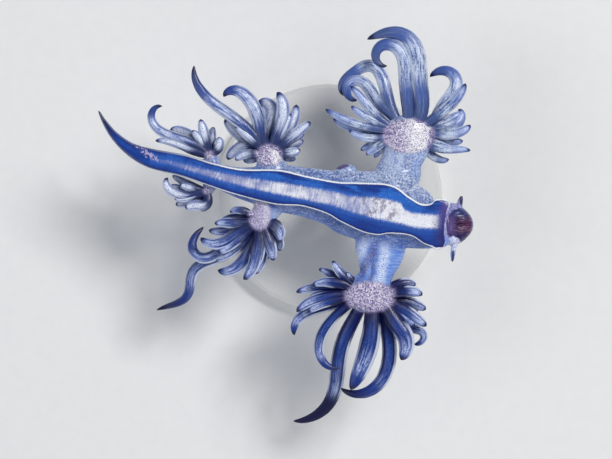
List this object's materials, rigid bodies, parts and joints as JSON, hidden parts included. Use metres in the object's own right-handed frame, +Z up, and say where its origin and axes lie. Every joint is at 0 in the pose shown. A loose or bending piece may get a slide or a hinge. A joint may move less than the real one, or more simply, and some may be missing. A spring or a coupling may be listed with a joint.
{
  "type": "blue dragon sea slug",
  "caption": "Life-size blue dragon sea slug floating foot side up, with fans of finger-like cerata on each side, held on a plain round display stand.",
  "frame": {"origin": "middle of the underside of the display stand's base, below the middle of the body", "axes": "+X towards the slug's head, +Y towards its own right side, +Z up through the stand to its blue sole, which faces up"},
  "size_m": [0.0378, 0.0405, 0.0161],
  "materials": {
    "body_skin": "wet, smooth skin: royal blue sole with a silver band down its middle and a thin white edge, pale speckled sides and a pearly back",
    "arm_skin": "wet, smooth skin: pale lavender blue with silver speckles and fine cross wrinkles",
    "cerata_skin": "wet, smooth skin: deep blue at the roots, silver lavender along the middle, pale edges and dark indigo tips",
    "head_skin": "wet, smooth skin: dark purple with a pale rim and pinkish lips",
    "stand_finish": "satin off-white plastic, plain and unmarked"
  },
  "bodies": {
    "root": {"head": "head_skin", "oral_tentacle_right": "head_skin", "oral_tentacle_left": "head_skin", "rhinophore_right": "head_skin", "rhinophore_left": "head_skin", "neck": "body_skin", "body_front": "body_skin", "body_middle": "body_skin", "body_rear": "body_skin", "tail": "body_skin", "tail_tip": "body_skin", "arm_front_right": "arm_skin", "arm_front_left": "arm_skin", "cerata_front_right": "cerata_skin", "cerata_front_left": "cerata_skin", "cerata_middle_right": "cerata_skin", "cerata_middle_left": "cerata_skin", "cerata_rear_right": "cerata_skin", "cerata_rear_left": "cerata_skin", "stand_base": "stand_finish", "stand_rod": "stand_finish"}
  },
  "joints": []
}
